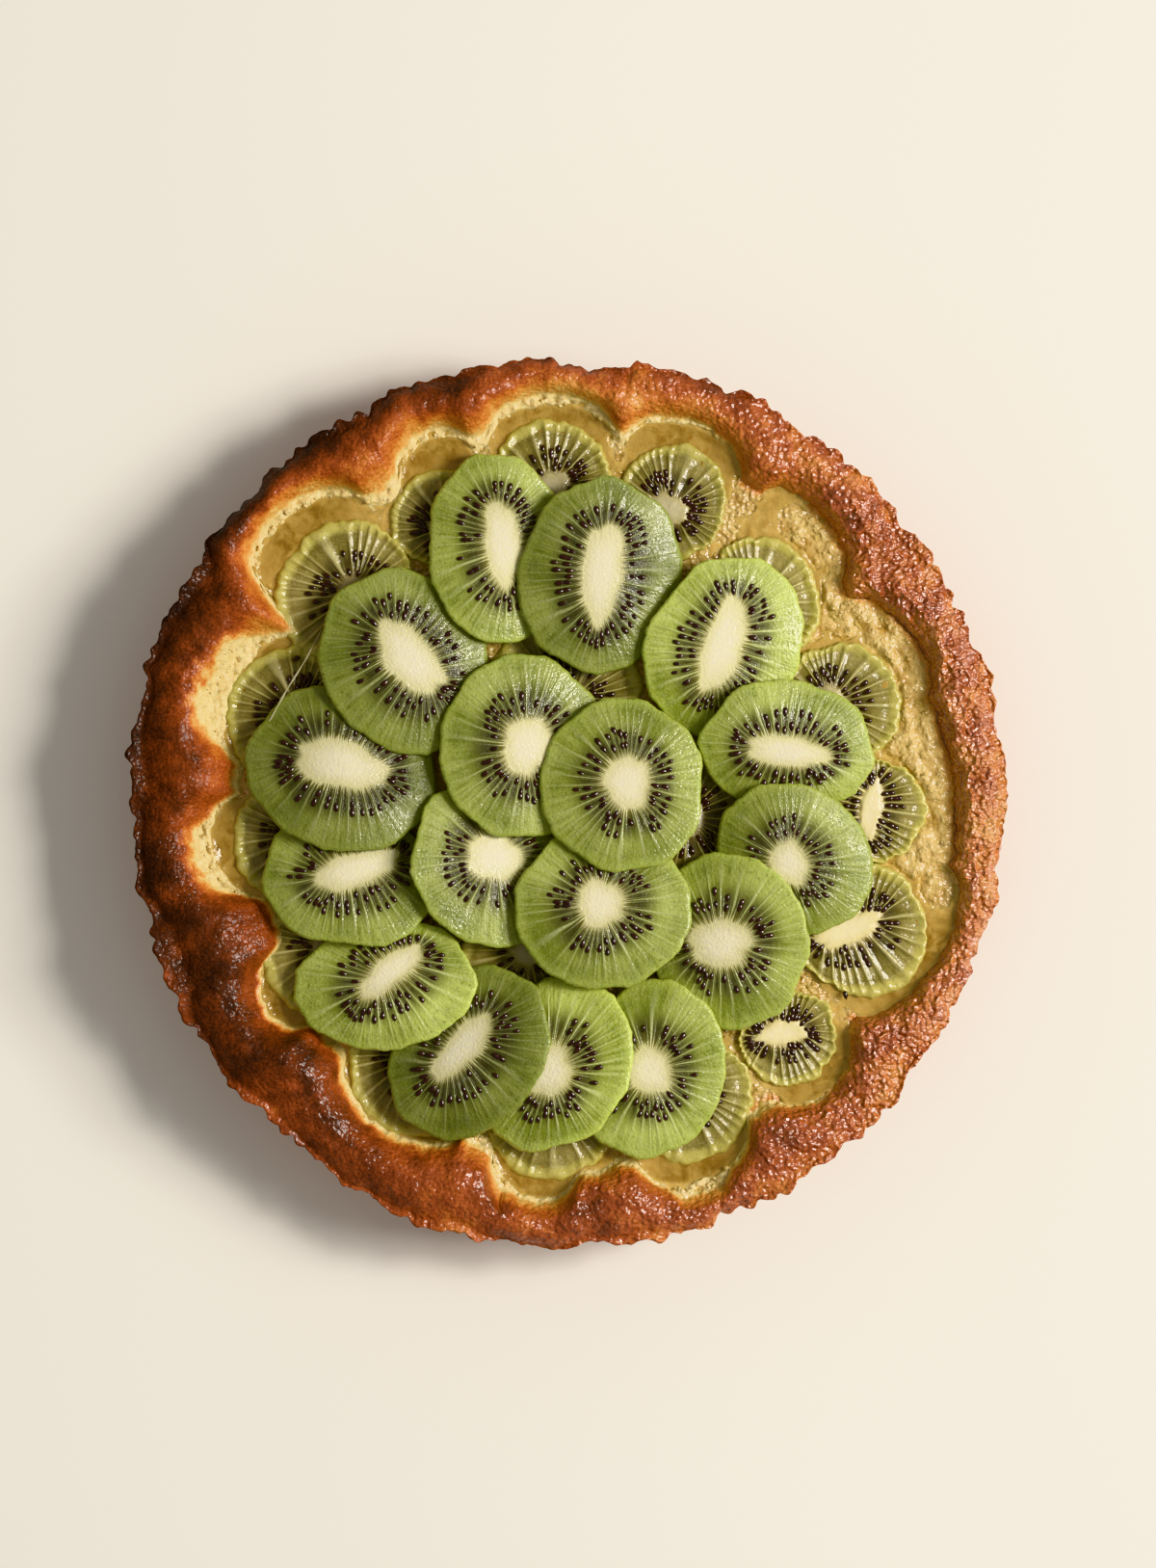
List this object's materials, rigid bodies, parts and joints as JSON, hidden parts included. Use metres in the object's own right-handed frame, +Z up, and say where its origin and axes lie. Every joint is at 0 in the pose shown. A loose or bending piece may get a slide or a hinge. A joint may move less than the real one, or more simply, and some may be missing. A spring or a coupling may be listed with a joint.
{
  "type": "kiwi tart",
  "caption": "Round tart with a fluted sponge case, a puffed browned rim, and overlapping fresh kiwi slices laid over slices baked into the batter.",
  "frame": {"origin": "middle of the flat base, where the tart stands", "axes": "+Z up out of the fruit, +Y towards the slice at the top of the picture, +X to the picture's right"},
  "size_m": [0.2393, 0.2391, 0.0375],
  "materials": {
    "sponge_crust": "golden to deep brown baked sponge crust, finely pitted, with a thin syrup shine",
    "baked_kiwi": "olive baked kiwi flesh, wet and wrinkled, with dark seeds",
    "fresh_kiwi": "bright green wet kiwi flesh with a pale core, pale rays and black seeds"
  },
  "bodies": {
    "root": {"sponge_case": "sponge_crust", "baked_kiwi_01": "baked_kiwi", "baked_kiwi_02": "baked_kiwi", "baked_kiwi_03": "baked_kiwi", "baked_kiwi_04": "baked_kiwi", "baked_kiwi_05": "baked_kiwi", "baked_kiwi_06": "baked_kiwi", "baked_kiwi_07": "baked_kiwi", "baked_kiwi_08": "baked_kiwi", "baked_kiwi_09": "baked_kiwi", "baked_kiwi_10": "baked_kiwi", "baked_kiwi_11": "baked_kiwi", "baked_kiwi_12": "baked_kiwi", "baked_kiwi_13": "baked_kiwi", "baked_kiwi_14": "baked_kiwi", "baked_kiwi_15": "baked_kiwi", "baked_kiwi_16": "baked_kiwi", "baked_kiwi_17": "baked_kiwi", "baked_kiwi_18": "baked_kiwi", "fresh_kiwi_01": "fresh_kiwi", "fresh_kiwi_02": "fresh_kiwi", "fresh_kiwi_03": "fresh_kiwi", "fresh_kiwi_04": "fresh_kiwi", "fresh_kiwi_05": "fresh_kiwi", "fresh_kiwi_06": "fresh_kiwi", "fresh_kiwi_07": "fresh_kiwi", "fresh_kiwi_08": "fresh_kiwi", "fresh_kiwi_09": "fresh_kiwi", "fresh_kiwi_10": "fresh_kiwi", "fresh_kiwi_11": "fresh_kiwi", "fresh_kiwi_12": "fresh_kiwi", "fresh_kiwi_13": "fresh_kiwi", "fresh_kiwi_14": "fresh_kiwi", "fresh_kiwi_15": "fresh_kiwi", "fresh_kiwi_16": "fresh_kiwi", "fresh_kiwi_17": "fresh_kiwi"}
  },
  "joints": []
}
